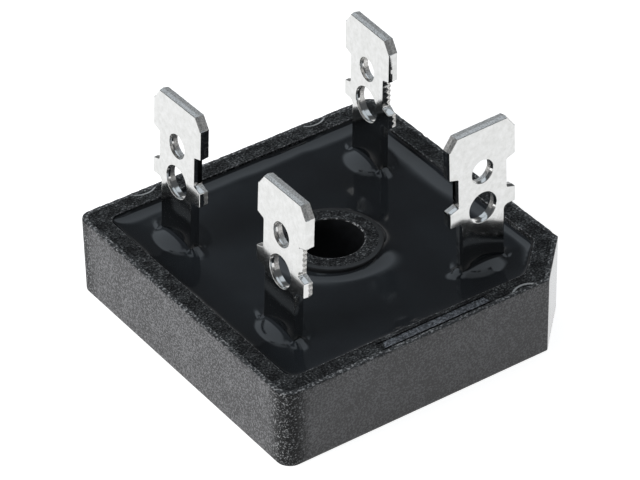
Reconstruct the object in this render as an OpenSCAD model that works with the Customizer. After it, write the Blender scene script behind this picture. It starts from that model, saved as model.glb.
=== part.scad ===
// Square bridge rectifier with four push-on tabs and one screw hole.
// A moulded shell stands on a metal heat spreader. Inside, four silicon chips are soldered between
// a lower pair of copper conductors (the direct-current side) and an upper pair (the
// alternating-current side). Four folded terminals stand on the conductors, and a cast filling
// locks everything in. The filling creeps up whatever stands in it while it is liquid.
// Sizes are in millimetres. The origin is on the screw hole's axis, in the face that is screwed down.

/* [Case] */
// Side of the square case
body_w = 28.6; // [26:0.1:32]
// Height of the case
body_h = 6.8; // [6.5:0.1:9]
// Thickness of the wall round the filling
wall_t = 1.8; // [1.3:0.1:2.2]
// Thickness of the floor between the heat spreader and the conductors
floor_t = 0.6; // [0.4:0.1:0.9]
// Leg of the bevelled corner that marks the positive terminal
chamfer_leg = 4.1; // [3:0.1:5]
// Radius of the other three upright corners
corner_r = 1.15; // [0.6:0.05:1.6]
// Radius of the pocket's corners
pocket_r = 0.9; // [0.5:0.05:1.4]
// Length of the moulding gate's scar on the rim
gate_l = 10.1; // [6:0.1:14]
// Width of the gate's scar
gate_w = 0.65; // [0.4:0.05:0.9]
// Depth of the gate's scar
gate_d = 0.12; // [0.05:0.01:0.25]

/* [Screw hole] */
// Diameter of the screw hole
hole_d = 5.2; // [4.2:0.1:5.5]
// Outer diameter of the boss round the screw hole
boss_d = 8.3; // [7.4:0.1:9]

/* [Heat spreader] */
// Thickness of the heat spreader
plate_t = 1.5; // [1:0.1:1.8]
// Width of the case that shows round the heat spreader
plate_border = 1.4; // [1:0.1:2]

/* [Filling] */
// Depth of the filling's flat surface below the rim
fill_recess = 0.7; // [0.5:0.05:1]
// Height that the filling creeps up a wall, a neck or the boss
creep_h = 0.4; // [0.2:0.05:0.5]
// Width of the creep
creep_w = 1.4; // [0.8:0.1:1.8]

/* [Tabs] */
// Width of a push-on tab
tab_w = 6.35; // [4.8:0.05:6.5]
// Thickness of the terminal strip
tab_t = 0.8; // [0.6:0.05:1]
// Length of the push-on tab, from its tip to the notches under it
tab_l = 3.55; // [3:0.05:5]
// Width of a tab's bevelled tip corner
tip_w = 0.75; // [0.4:0.05:1]
// Height of a tab's bevelled tip corner
tip_h = 1; // [0.6:0.05:1.4]
// Width left between the two notches
waist_w = 4.7; // [4:0.05:5]
// Height of the notches at the strip's edges
waist_h = 3; // [2.4:0.1:3.2]
// Height of the shoulders under the notches
shoulder_h = 1.35; // [1.2:0.05:1.8]
// Width of the neck that stands in the filling
neck_w = 4.1; // [3.4:0.1:4.4]
// Radius of the inside corners between the neck and the shoulders
neck_r = 0.4; // [0.2:0.05:0.6]
// Diameter of the catch hole in the tab
catch_d = 2; // [1.4:0.1:2.4]
// Distance of the catch hole from the tip
catch_in = 3.95; // [2.8:0.05:4.4]
// Diameter of the wiring hole in the shoulders
eye_d = 2.7; // [1.8:0.1:3]
// Distance of the wiring hole from the tip
eye_in = 7.2; // [6.8:0.05:7.6]

/* [Terminal places] */
// Distance of the negative terminal's outer face from the case's side
neg_in_x = 4.95; // [4.4:0.05:5.4]
// Distance of the negative terminal's middle from the case's other side
neg_in_y = 6.6; // [6:0.1:7.8]
// Distance of the first alternating-current terminal's outer face from the case's side
ac_1_in_x = 4.8; // [4.4:0.05:5.4]
// Distance of the first alternating-current terminal's middle from the case's other side
ac_1_in_y = 7.7; // [6:0.1:7.8]
// Distance of the second alternating-current terminal's inner face from the case's side
ac_2_in_x = 5.45; // [4.6:0.05:5.6]
// Distance of the second alternating-current terminal's middle from the case's other side
ac_2_in_y = 6.55; // [5.6:0.05:7.6]
// Distance of the positive terminal's middle from the case's side
pos_in_x = 6.4; // [6:0.1:7.6]
// Distance of the positive terminal's outer face from the case's other side
pos_in_y = 5.2; // [4.6:0.05:5.6]
// Height of the terminals' tips over the case's rim
tip_rise = 11.9; // [11.5:0.05:13.5]
// Lean of the negative terminal away from its outer face, in degrees
neg_lean = 3.1; // [0:0.1:5]
// Lean of the first alternating-current terminal away from its outer face, in degrees
ac_1_lean = 3.2; // [0:0.1:5]
// Lean of the second alternating-current terminal away from its inner face, in degrees
ac_2_lean = 1.4; // [0:0.1:5]
// Lean of the positive terminal away from its outer face, in degrees
pos_lean = 1.4; // [0:0.1:5]
// Lean of the negative terminal along its own width, in degrees
neg_sway = 0.4; // [-2:0.1:2]
// Lean of the first alternating-current terminal along its own width, in degrees
ac_1_sway = -0.3; // [-2:0.1:2]
// Lean of the second alternating-current terminal along its own width, in degrees
ac_2_sway = -0.1; // [-2:0.1:2]
// Lean of the positive terminal along its own width, in degrees
pos_sway = -0.3; // [-2:0.1:2]
// Turn of the negative terminal out of square with the case, in degrees
neg_turn = 1; // [-3:0.1:3]
// Turn of the first alternating-current terminal out of square with the case, in degrees
ac_1_turn = -0.7; // [-3:0.1:3]
// Turn of the second alternating-current terminal out of square with the case, in degrees
ac_2_turn = -2.9; // [-3:0.1:3]
// Turn of the positive terminal out of square with the case, in degrees
pos_turn = 1.6; // [-3:0.1:3]

/* [Conductors and chips] */
// Thickness of the copper conductors
strip_t = 0.5; // [0.3:0.05:0.6]
// Width of the copper conductors
strip_w = 6; // [5.4:0.1:6.2]
// Gap between a conductor and the pocket's wall
strip_gap = 0.9; // [0.6:0.1:1.2]
// Side of a silicon chip
chip_w = 4.2; // [3:0.1:4.8]
// Thickness of a silicon chip
chip_t = 0.3; // [0.2:0.05:0.4]
// Thickness of a solder joint
solder_t = 0.1; // [0.05:0.01:0.15]

/* [Hidden] */

$fn = 48;
// How far a cutting shape passes the face that it cuts
past = 1;
half_w = body_w / 2;
pocket_half = half_w - wall_t;
plate_half = half_w - plate_border;
// Moving a bevel inwards by a wall moves where it meets the sides by less than the wall
bevel_shift = 2 - sqrt(2);
pocket_leg = chamfer_leg - wall_t * bevel_shift;
plate_leg = chamfer_leg - plate_border * bevel_shift;
hole_r = hole_d / 2;
boss_r = boss_d / 2;

// Heights of the layers, from the base up
floor_z = plate_t + floor_t;
lower_solder_z = floor_z + strip_t;
chip_z = lower_solder_z + solder_t;
upper_solder_z = chip_z + chip_t;
upper_strip_z = upper_solder_z + solder_t;
upper_foot_z = upper_strip_z + strip_t;
fill_z = body_h - fill_recess;
// Length of a terminal over the filling
tall = tip_rise + fill_recess;
rim_mid = half_w - wall_t / 2;

// Conductors: each is an L of two arms along the pocket's walls
strip_out = pocket_half - strip_gap;
strip_in = strip_out - strip_w;
strip_mid = (strip_out + strip_in) / 2;
strip_end = chip_w / 2 + 0.5;
strip_leg = pocket_leg - strip_gap * bevel_shift;

// Slant of the sheared steps over and under each notch
step_slant = 0.25;
// The foot stops this far inside the conductor's edge
foot_margin = 0.5;
// The solder shows this far round a foot
solder_rim = 0.3;

// A square with three round corners and a bevelled one at +X, -Y
module outline(half, leg, r) {
    union() {
        polygon([
            [-half + r, -half], [half - leg, -half], [half, -half + leg], [half, half - r],
            [half - r, half], [-half + r, half], [-half, half - r], [-half, -half + r]
        ]);
        for (at = [[-1, -1], [-1, 1], [1, 1]])
            translate(at * (half - r)) circle(r);
    }
}

// ---- Case and heat spreader ----

module case() {
    color([0.17, 0.17, 0.18]) difference() {
        linear_extrude(body_h) outline(half_w, chamfer_leg, corner_r);
        difference() {
            translate([0, 0, floor_z])
                linear_extrude(body_h - floor_z + past) outline(pocket_half, pocket_leg, pocket_r);
            cylinder(r = boss_r, h = body_h + 2 * past);
        }
        translate([0, 0, -past]) linear_extrude(plate_t + past) outline(plate_half, plate_leg, pocket_r);
        translate([0, 0, -past]) cylinder(r = hole_r, h = body_h + 2 * past);
        translate([-gate_l / 2, -rim_mid - gate_w / 2, body_h - gate_d])
            cube([gate_l, gate_w, gate_d + past]);
    }
}

module base_plate() {
    color([0.75, 0.76, 0.78]) difference() {
        linear_extrude(plate_t) outline(plate_half, plate_leg, pocket_r);
        translate([0, 0, -past]) cylinder(r = hole_r, h = plate_t + 2 * past);
    }
}

// ---- Terminals ----
// A terminal is drawn with its middle on X, its outer face on Y = 0 and the filling's surface at Z = 0

// The right-hand edge of a tab, from the neck up to the tip
function tab_edge() = let (
    half = tab_w / 2,
    notch_top = tall - tab_l,
    notch_foot = notch_top - waist_h,
    shoulder_foot = notch_foot - shoulder_h,
    round_at = [neck_w / 2 + neck_r, shoulder_foot - neck_r]
) concat(
    [for (angle = [180 : -30 : 90]) round_at + neck_r * [cos(angle), sin(angle)]],
    [
        [half, shoulder_foot], [half, notch_foot], [waist_w / 2, notch_foot + step_slant],
        [waist_w / 2, notch_top - step_slant], [half, notch_top], [half, tall - tip_h],
        [half - tip_w, tall]
    ]
);

function mirrored(points) = [for (i = [len(points) - 1 : -1 : 0]) [-points[i][0], points[i][1]]];

function swayed(points, sway) = [for (p = points)
    [p[0] * cos(sway) + p[1] * sin(sway), p[1] * cos(sway) - p[0] * sin(sway)]];

module tab_outline(sway) {
    edge = tab_edge();
    neck_foot = [[-neck_w / 2, 0], [neck_w / 2, 0]];
    polygon(concat(neck_foot, swayed(edge, sway), swayed(mirrored(edge), sway)));
}

// A strip on edge: the outline is drawn on X and Z, and the thickness goes back along Y
module on_edge(thick) {
    translate([0, thick, 0]) rotate([90, 0, 0]) linear_extrude(thick) children();
}

module tab(lean, sway) {
    rotate([-lean, 0, 0]) difference() {
        on_edge(tab_t) tab_outline(sway);
        for (hole = [[catch_d, catch_in], [eye_d, eye_in]])
            rotate([0, sway, 0]) translate([0, tab_t / 2, tall - hole[1]]) rotate([90, 0, 0])
                cylinder(d = hole[0], h = tab_t + 2 * past, center = true);
    }
}

// The part of a terminal in the filling: a straight neck and a foot folded off it
module neck_and_foot(deep, foot_l, foot_side) {
    translate([-neck_w / 2, 0, -deep]) cube([neck_w, tab_t, deep]);
    translate([-neck_w / 2, foot_side > 0 ? 0 : tab_t - foot_l, -deep]) cube([neck_w, foot_l, tab_t]);
}

module foot_solder(deep, foot_l, foot_side) {
    translate([-neck_w / 2 - solder_rim, foot_side > 0 ? 0 : tab_t - foot_l, -deep - solder_t])
        cube([neck_w + 2 * solder_rim, foot_l, solder_t]);
}

// A terminal's place: the middle of its outer face in the filling's surface, and its turn
neg_at = [-half_w + neg_in_x, half_w - neg_in_y];
ac_1_at = [-half_w + ac_1_in_x, -half_w + ac_1_in_y];
ac_2_at = [half_w - ac_2_in_x, half_w - ac_2_in_y];
pos_at = [half_w - pos_in_x, -half_w + pos_in_y];

// Three terminals stand in a row's direction, and the positive one a quarter turn from it
row_turn = -90;
neg_way = row_turn + neg_turn;
ac_1_way = row_turn + ac_1_turn;
ac_2_way = row_turn + ac_2_turn;

module at_terminal(at, turn) {
    translate([at[0], at[1], fill_z]) rotate([0, 0, turn]) children();
}

// Depth of a foot's underside below the filling's surface, over the lower and the upper conductors
lower_deep = fill_z - lower_solder_z - solder_t;
upper_deep = fill_z - upper_foot_z - solder_t;

// Feet reach from the blade's far face to just inside the conductor's inner edge
neg_foot_l = -strip_in - foot_margin - neg_at[0];
ac_1_foot_l = -strip_in - foot_margin - ac_1_at[0];
ac_2_foot_l = ac_2_at[0] + tab_t - strip_in - foot_margin;
pos_foot_l = -strip_in - foot_margin - pos_at[1];

module negative_terminal() {
    color([0.86, 0.86, 0.87]) at_terminal(neg_at, neg_way) {
        tab(neg_lean, neg_sway);
        neck_and_foot(lower_deep, neg_foot_l, 1);
    }
}

module ac_terminal_1() {
    color([0.86, 0.86, 0.87]) at_terminal(ac_1_at, ac_1_way) {
        tab(ac_1_lean, ac_1_sway);
        neck_and_foot(upper_deep, ac_1_foot_l, 1);
    }
}

module ac_terminal_2() {
    color([0.86, 0.86, 0.87]) at_terminal(ac_2_at, ac_2_way) {
        tab(ac_2_lean, ac_2_sway);
        neck_and_foot(upper_deep, ac_2_foot_l, -1);
    }
}

module positive_terminal() {
    color([0.86, 0.86, 0.87]) at_terminal(pos_at, pos_turn) {
        tab(pos_lean, pos_sway);
        neck_and_foot(lower_deep, pos_foot_l, 1);
    }
}

// ---- Conductors, chips and solder ----

// An L of sheet copper with its corner at -X, -Y
module strip_outline() {
    polygon([
        [-strip_out, -strip_out], [strip_end, -strip_out], [strip_end, -strip_in],
        [-strip_in, -strip_in], [-strip_in, strip_end], [-strip_out, strip_end]
    ]);
}

module conductor(z, turn) {
    color([0.78, 0.47, 0.3]) translate([0, 0, z]) rotate([0, 0, turn])
        linear_extrude(strip_t) strip_outline();
}

// The positive conductor keeps clear of the bevelled corner
module positive_conductor() {
    intersection() {
        conductor(floor_z, 90);
        translate([0, 0, floor_z - past]) linear_extrude(strip_t + 2 * past)
            outline(strip_out, strip_leg, pocket_r);
    }
}

module negative_conductor() {
    conductor(floor_z, -90);
}

module ac_conductor_1() {
    conductor(upper_strip_z, 0);
}

module ac_conductor_2() {
    conductor(upper_strip_z, 180);
}

// Chips lie half-way along the case's sides, where an upper and a lower conductor cross
module at_chip(number, z) {
    rotate([0, 0, 90 * number]) translate([0, -strip_mid, z]) children();
}

module diode_chip(number) {
    color([0.35, 0.36, 0.4]) at_chip(number, chip_z)
        translate([-chip_w / 2, -chip_w / 2, 0]) cube([chip_w, chip_w, chip_t]);
}

module chip_solder(number, z) {
    color([0.7, 0.71, 0.72]) at_chip(number, z)
        translate([-chip_w / 2, -chip_w / 2, 0]) cube([chip_w, chip_w, solder_t]);
}

module foot_solder_positive() {
    color([0.7, 0.71, 0.72]) at_terminal(pos_at, pos_turn) foot_solder(lower_deep, pos_foot_l, 1);
}

module foot_solder_negative() {
    color([0.7, 0.71, 0.72]) at_terminal(neg_at, neg_way) foot_solder(lower_deep, neg_foot_l, 1);
}

module foot_solder_ac_1() {
    color([0.7, 0.71, 0.72]) at_terminal(ac_1_at, ac_1_way) foot_solder(upper_deep, ac_1_foot_l, 1);
}

module foot_solder_ac_2() {
    color([0.7, 0.71, 0.72]) at_terminal(ac_2_at, ac_2_way) foot_solder(upper_deep, ac_2_foot_l, -1);
}

// ---- Filling ----

// Section of the creep: hollow, highest at the wall and running out flat
creep_steps = 6;
function creep(from) = [for (i = [0 : creep_steps])
    [from + creep_w * i / creep_steps, creep_h * pow(1 - i / creep_steps, 2)]];
creep_root = 0.2;
// The filling is drawn this far into the walls, and then cut to the pocket
lap = 0.2;

module creep_section(from) {
    polygon(concat([[0, -creep_root], [0, creep_h]], creep(from), [[from + creep_w, -creep_root]]));
}

// The creep along one wall of the pocket, on the side that a turn names
module wall_creep(distance, turn) {
    rotate([0, 0, turn]) translate([-pocket_half - lap, -distance - lap, fill_z]) rotate([90, 0, 90])
        linear_extrude(2 * (pocket_half + lap)) creep_section(lap);
}

// The creep round a neck falls away on all four sides, with mitred corners
module ridge(half, run) {
    for (side = [0, 180])
        rotate([0, 0, side]) translate([-run, 0, 0]) rotate([90, 0, 90])
            linear_extrude(2 * run) creep_section(half);
}

module neck_creep(at, turn) {
    reach = neck_w / 2 + creep_w;
    at_terminal(at, turn) translate([0, tab_t / 2, 0]) intersection() {
        ridge(tab_t / 2, reach + past);
        rotate([0, 0, 90]) ridge(neck_w / 2, reach + past);
    }
}

module filling_block() {
    intersection() {
        union() {
            translate([0, 0, floor_z]) linear_extrude(fill_z - floor_z)
                square(2 * (pocket_half + lap), center = true);
            for (turn = [0, 90, 180, 270])
                wall_creep(pocket_half, turn);
            wall_creep((2 * pocket_half - pocket_leg) / sqrt(2), 45);
            translate([0, 0, fill_z]) rotate_extrude() creep_section(boss_r);
            neck_creep(neg_at, neg_way);
            neck_creep(ac_1_at, ac_1_way);
            neck_creep(ac_2_at, ac_2_way);
            neck_creep(pos_at, pos_turn);
        }
        translate([0, 0, floor_z]) linear_extrude(body_h - floor_z)
            outline(pocket_half, pocket_leg, pocket_r);
    }
}

module potting() {
    color([0.07, 0.07, 0.08]) difference() {
        filling_block();
        cylinder(r = boss_r, h = body_h + past);
        positive_conductor();
        negative_conductor();
        ac_conductor_1();
        ac_conductor_2();
        for (number = [0 : 3]) {
            chip_solder(number, lower_solder_z);
            diode_chip(number);
            chip_solder(number, upper_solder_z);
        }
        foot_solder_positive();
        foot_solder_negative();
        foot_solder_ac_1();
        foot_solder_ac_2();
        positive_terminal();
        negative_terminal();
        ac_terminal_1();
        ac_terminal_2();
    }
}

case();
base_plate();
potting();
positive_terminal();
negative_terminal();
ac_terminal_1();
ac_terminal_2();
positive_conductor();
negative_conductor();
ac_conductor_1();
ac_conductor_2();
diode_chip(0);  // diode_chip_1
diode_chip(1);  // diode_chip_2
diode_chip(2);  // diode_chip_3
diode_chip(3);  // diode_chip_4
chip_solder(0, lower_solder_z);  // chip_solder_lower_1
chip_solder(1, lower_solder_z);  // chip_solder_lower_2
chip_solder(2, lower_solder_z);  // chip_solder_lower_3
chip_solder(3, lower_solder_z);  // chip_solder_lower_4
chip_solder(0, upper_solder_z);  // chip_solder_upper_1
chip_solder(1, upper_solder_z);  // chip_solder_upper_2
chip_solder(2, upper_solder_z);  // chip_solder_upper_3
chip_solder(3, upper_solder_z);  // chip_solder_upper_4
foot_solder_positive();
foot_solder_negative();
foot_solder_ac_1();
foot_solder_ac_2();
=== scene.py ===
"""Square bridge rectifier with four push-on tabs: the visual model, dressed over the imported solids.

Lengths are in millimetres until a mesh or a node takes them, and only the lamp and the floor are
given in metres. The axes are the part's own: the screw hole is on Z, the base is at Z = 0, and the
bevelled corner is at +X, -Y.
"""

import itertools
import math

import bpy
import numpy as np
from mathutils import Matrix, Vector
from mathutils.geometry import delaunay_2d_cdt


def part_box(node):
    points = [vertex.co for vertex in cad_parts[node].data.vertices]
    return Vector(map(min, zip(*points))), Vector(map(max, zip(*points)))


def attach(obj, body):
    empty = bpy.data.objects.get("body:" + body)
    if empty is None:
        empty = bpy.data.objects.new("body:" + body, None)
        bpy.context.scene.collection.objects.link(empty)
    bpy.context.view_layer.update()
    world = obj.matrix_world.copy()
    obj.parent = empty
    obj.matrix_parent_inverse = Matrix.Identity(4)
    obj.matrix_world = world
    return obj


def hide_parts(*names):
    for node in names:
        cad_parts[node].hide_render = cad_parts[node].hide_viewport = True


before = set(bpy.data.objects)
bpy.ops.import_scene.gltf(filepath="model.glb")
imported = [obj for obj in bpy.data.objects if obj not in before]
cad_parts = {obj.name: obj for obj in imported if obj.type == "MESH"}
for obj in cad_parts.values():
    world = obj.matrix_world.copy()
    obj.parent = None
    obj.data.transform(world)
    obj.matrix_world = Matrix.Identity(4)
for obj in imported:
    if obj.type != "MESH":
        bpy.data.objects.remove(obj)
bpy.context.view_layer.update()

MM = 0.001
_, CASE_HIGH = (np.array(corner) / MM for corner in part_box("case"))
_, PLATE_HIGH = (np.array(corner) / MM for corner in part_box("base_plate"))
CONDUCTOR_LOW, _ = (np.array(corner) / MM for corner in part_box("negative_conductor"))

# ---- Sizes, as in the part's own source ----

HALF = CASE_HIGH[0]
RIM_Z = CASE_HIGH[2]
PLATE_Z = PLATE_HIGH[2]
PLATE_INSET = HALF - PLATE_HIGH[0]
FLOOR_Z = CONDUCTOR_LOW[2]
WALL = 1.8
BEVEL_LEG = 4.1
CORNER_R = 1.15
POCKET_R = 0.9
BEVEL_CORNER_R = 0.25
# An inset bevel meets the sides this much nearer to the corner, for each millimetre of inset
BEVEL_SHIFT = 2 - math.sqrt(2)
HOLE_R = 2.6
BOSS_R = 4.15
FILL_Z = RIM_Z - 0.7

TAB_W = 6.35
TAB_T = 0.8
TAB_L = 3.55
TIP_W, TIP_H = 0.75, 1.0
TIP_Z = 18.7
WAIST_W, WAIST_H = 4.7, 3.0
SHOULDER_H = 1.35
STEP_SLANT = 0.25
NECK_W = 4.1
NECK_R = 0.4
CATCH_D, CATCH_IN = 2.0, 3.95
EYE_IN = 7.2
# Height of the tips above the filling, and depth of the feet's undersides below it
TALL = TIP_Z - FILL_Z
LOWER_DEEP = FILL_Z - 2.7
UPPER_DEEP = FILL_Z - 3.7

# Each terminal: the middle of its outer face in the filling's surface, its turn, its lean away from
# that face, its lean along its width, the diameter of its eye, the depth, length and side of its
# foot, and the edges that tore: side, from and to below the tip, and depth
TERMINALS = {
    "negative_terminal": dict(
        at=(-9.35, 7.7), turn=-89.0, lean=3.1, sway=0.4, eye=2.68,
        deep=LOWER_DEEP, foot=3.25, foot_side=1,
        torn=[(1, 6.4, 7.8, 0.05)],
    ),
    "ac_terminal_1": dict(
        at=(-9.5, -6.6), turn=-90.7, lean=3.2, sway=-0.3, eye=2.67,
        deep=UPPER_DEEP, foot=3.4, foot_side=1,
        torn=[(1, 3.8, 7.9, 0.06)],
    ),
    "ac_terminal_2": dict(
        at=(8.85, 7.75), turn=-92.9, lean=1.4, sway=-0.1, eye=2.95,
        deep=UPPER_DEEP, foot=3.55, foot_side=-1,
        torn=[(1, 3.7, 7.8, 0.15)],
    ),
    "positive_terminal": dict(
        at=(7.9, -9.1), turn=1.6, lean=1.4, sway=-0.3, eye=2.58,
        deep=LOWER_DEEP, foot=3.0, foot_side=1,
        torn=[],
    ),
}

# ---- Traces of making, which only this model has ----

# The relief of a moulded surface, which lies inside the solid's
RELIEF = 0.012
# Small rounds: round the base, at the pocket's edge, at the boss's edge and at the hole's edge
BASE_ROUND, POCKET_ROUND, BOSS_ROUND, HOLE_ROUND = 0.12, 0.1, 0.16, 0.12
# The pocket's edge and the boss's edge lie this far below the rim
POCKET_DROP, BOSS_DROP = 0.01, 0.03
# The outer top edge is worn round by about this much, and between these limits
WEAR, WEAR_LIMITS = 0.09, (0.05, 0.3)
# Chips along it: how many, their half widths and their depths
CHIPS, CHIP_WIDE, CHIP_DEEP = 90, (0.1, 0.5), (0.02, 0.08)
# The gate's scar on the rim: half its length, its insets from the wall and its depth, and then the
# grooves on both sides of it
GATE_HALF, GATE_FROM, GATE_TO, GATE_DEEP = 5.05, 0.57, 1.23, 0.09
GATE_GROOVES = [(0.40, 0.55), (1.24, 1.36)]
# The ejector pins' round marks, which overlap the outline, and their depth
EJECTORS, EJECTOR_R, EJECTOR_DEEP = [(8.0, -15.05), (-8.2, 15.05), (8.1, 15.05)], 1.5, 0.035
# Pitch of the teeth that the worn punch left on torn edges, and the torn surface's own relief
TOOTH_PITCH, TORN_RELIEF = 0.45, 0.012
# The strip's front edge is rolled over this far along the tip
TIP_ROLL = 0.09
# Painted shade on the necks: darker and a little duller up to this height, fading over the last
# stretch
NECK_SHADE_Z, NECK_SHADE_FADE = 11.0, 1.0

# ---- Helpers ----


def linear(hex_colour):
    """An sRGB hex colour as the linear RGBA that shaders take."""
    parts = [int(hex_colour[i : i + 2], 16) / 255 for i in (1, 3, 5)]
    return [p / 12.92 if p <= 0.04045 else ((p + 0.055) / 1.055) ** 2.4 for p in parts] + [1.0]


# Numbers without a pattern, which turn a cell of the noise and a seed into a value
CELL_MIX = (127.1, 311.7, 74.7)
CELL_SCALE = 43758.5453
SEED_SHIFT = 31.7


def noise(points, size, seed):
    """Smooth noise from -1 to 1, with bumps of about the given size. Each use has its own seed."""
    scaled = np.asarray(points, float) / size + SEED_SHIFT * seed
    cell = np.floor(scaled)
    part = scaled - cell
    part = part * part * (3 - 2 * part)
    mix = np.array(CELL_MIX)[: scaled.shape[-1]]
    total = np.zeros(scaled.shape[:-1])
    for corner in itertools.product((0, 1), repeat=scaled.shape[-1]):
        raw = np.sin((cell + corner) @ mix) * CELL_SCALE
        weight = np.prod(np.where(corner, part, 1 - part), axis=-1)
        total += weight * (2 * (raw - np.floor(raw)) - 1)
    return total


def smooth_step(value, low, high):
    """0 up to low, 1 from high on, and a smooth rise between them."""
    t = np.clip((value - low) / (high - low), 0, 1)
    return t * t * (3 - 2 * t)


def quarter_round(*degrees):
    """The angles of a quarter round, each with 1 less its sine and 1 less its cosine."""
    for angle in map(math.radians, degrees):
        yield angle, 1 - math.sin(angle), 1 - math.cos(angle)


def circle(radius, count):
    """Points of a circle, counter-clockwise."""
    angle = np.arange(count) * 2 * math.pi / count
    return np.column_stack([np.cos(angle), np.sin(angle)]) * radius


def rounded_loop(vertices, radii, spacing, arc_steps):
    """A closed loop with round corners, counter-clockwise: its points and their outward normals.

    The spacing is the gap between points on the straights, or a list of the steps on each."""
    vertices = np.asarray(vertices, float)
    count = len(vertices)
    arcs = []
    for i in range(count):
        into = vertices[i] - vertices[i - 1]
        out = vertices[(i + 1) % count] - vertices[i]
        into, out = into / np.linalg.norm(into), out / np.linalg.norm(out)
        turn = math.atan2(into[0] * out[1] - into[1] * out[0], into @ out)
        reach = radii[i] * math.tan(abs(turn) / 2)
        side = 1 if turn > 0 else -1
        centre = vertices[i] - into * reach + side * radii[i] * np.array([-into[1], into[0]])
        arc_points, arc_normals = [], []
        for k in range(arc_steps[i] + 1):
            angle = turn * k / arc_steps[i]
            normal = np.array([
                into[1] * math.cos(angle) + into[0] * math.sin(angle),
                into[1] * math.sin(angle) - into[0] * math.cos(angle),
            ])
            arc_normals.append(normal)
            arc_points.append(centre + side * radii[i] * normal)
        arcs.append((arc_points, arc_normals))
    points, normals = [], []
    for i, (arc_points, arc_normals) in enumerate(arcs):
        points += arc_points
        normals += arc_normals
        a, b = arc_points[-1], arcs[(i + 1) % count][0][0]
        length = np.linalg.norm(b - a)
        steps = spacing[i] if isinstance(spacing, list) else max(1, round(length / spacing))
        along = (b - a) / length
        for k in range(1, steps):
            points.append(a + (b - a) * k / steps)
            normals.append(np.array([along[1], -along[0]]))
    return np.array(points), np.array(normals)


def inside(points, loop):
    """Which points lie inside a closed loop."""
    crossed = np.zeros(len(points), bool)
    for (x0, y0), (x1, y1) in zip(loop, np.roll(loop, -1, axis=0)):
        if y0 == y1:
            continue
        rises = (y0 > points[:, 1]) != (y1 > points[:, 1])
        at = x0 + (points[:, 1] - y0) / (y1 - y0) * (x1 - x0)
        crossed ^= rises & (points[:, 0] < at)
    return crossed


def between(points, loops):
    """Which points lie inside the first loop and outside the others."""
    keep = inside(points, loops[0])
    for loop in loops[1:]:
        keep &= ~inside(points, loop)
    return keep


def flat_fill(loops, lattice):
    """Triangles that fill the first loop and leave the others open, over the lattice's points too.

    Returns the flat points, the triangles, and each point's number in the loops and the lattice."""
    points, edges = [], []
    for loop in loops:
        start, n = len(points), len(loop)
        points += [Vector(p) for p in loop]
        edges += [(start + i, start + (i + 1) % n) for i in range(n)]
    points += [Vector(p) for p in lattice]
    out, _, faces, origin, _, _ = delaunay_2d_cdt(points, edges, [], 0, 1e-7)
    flat = np.array([tuple(p) for p in out])
    faces = np.array(faces)
    faces = faces[between(flat[faces].mean(1), loops)]
    a, b, c = (flat[faces[:, k]] for k in range(3))
    area = (b[:, 0] - a[:, 0]) * (c[:, 1] - a[:, 1]) - (b[:, 1] - a[:, 1]) * (c[:, 0] - a[:, 0])
    faces[area < 0] = faces[area < 0][:, ::-1]
    return flat, faces, [o[0] if o else -1 for o in origin]


def loop_distance(points, loop):
    """Distance of each point from a closed loop."""
    nearest = np.full(len(points), np.inf)
    for a, b in zip(loop, np.roll(loop, -1, axis=0)):
        along = b - a
        t = np.clip(((points - a) @ along) / max(along @ along, 1e-12), 0, 1)
        nearest = np.minimum(nearest, np.linalg.norm(points - a - t[:, None] * along, axis=1))
    return nearest


def hex_lattice(low, high, step, loops, clear):
    """Evenly spread points inside the first loop and outside the others, clear of all of them."""
    rows = np.arange(low[1], high[1], step * math.sqrt(3) / 2)
    spots = []
    for k, y in enumerate(rows):
        xs = np.arange(low[0] + (k % 2) * step / 2, high[0], step)
        spots.append(np.stack([xs, np.full(len(xs), y)], axis=1))
    spots = np.concatenate(spots)
    spots = spots[between(spots, loops)]
    for loop in loops:
        spots = spots[loop_distance(spots, loop) > clear]
    return spots


def band(first, second, count):
    """Quads between two rings of the same count that start at the given vertex numbers."""
    i = np.arange(count)
    j = (i + 1) % count
    return np.stack([first + i, first + j, second + j, second + i], axis=1)


def add_piece(name, vertices, faces, materials, nodes, sharp, choice=None):
    """A mesh in the part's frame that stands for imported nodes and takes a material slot's finish.

    Edges over the given angle stay sharp, and the choice numbers each face's material."""
    mesh = bpy.data.meshes.new(name)
    mesh.from_pydata((np.asarray(vertices) * MM).tolist(), [], [list(map(int, f)) for f in faces])
    for material in materials:
        mesh.materials.append(material)
    if choice is not None:
        mesh.polygons.foreach_set("material_index", np.asarray(choice, np.int32))
    mesh.validate()
    mesh.polygons.foreach_set("use_smooth", [True] * len(mesh.polygons))
    mesh.set_sharp_from_angle(angle=math.radians(sharp))
    piece = bpy.data.objects.new(name, mesh)
    bpy.context.scene.collection.objects.link(piece)
    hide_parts(*nodes)
    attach(piece, "root")


# ---- Materials ----

EPOXY_IOR = 1.55


def new_material(name):
    """A material with its usual nodes: itself, its node tree and its main shader."""
    material = bpy.data.materials.new(name)
    material.use_nodes = True
    tree = material.node_tree
    return material, tree, tree.nodes["Principled BSDF"]


def feed(tree, node, inputs):
    """Gives a node its inputs. Each is a value, or a node's output to link."""
    for key, value in inputs.items():
        if isinstance(value, bpy.types.NodeSocket):
            tree.links.new(value, node.inputs[key])
        else:
            node.inputs[key].default_value = value


def add(tree, kind, inputs=None, stops=(), **settings):
    """Adds a node with its settings and its inputs, and a ramp's stops: position, hex colour."""
    node = tree.nodes.new(kind)
    for key, value in settings.items():
        setattr(node, key, value)
    if stops:
        while len(node.color_ramp.elements) < len(stops):
            node.color_ramp.elements.new(0.5)
        for element, (position, colour) in zip(node.color_ramp.elements, stops):
            element.position = position
            element.color = linear(colour)
    feed(tree, node, inputs or {})
    return node


def grain_of(size, detail=2.0, rough=0.5):
    """What a noise takes to have grains of about the given size in millimetres."""
    return {"Scale": 1 / (size * MM), "Detail": detail, "Roughness": rough}


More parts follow.
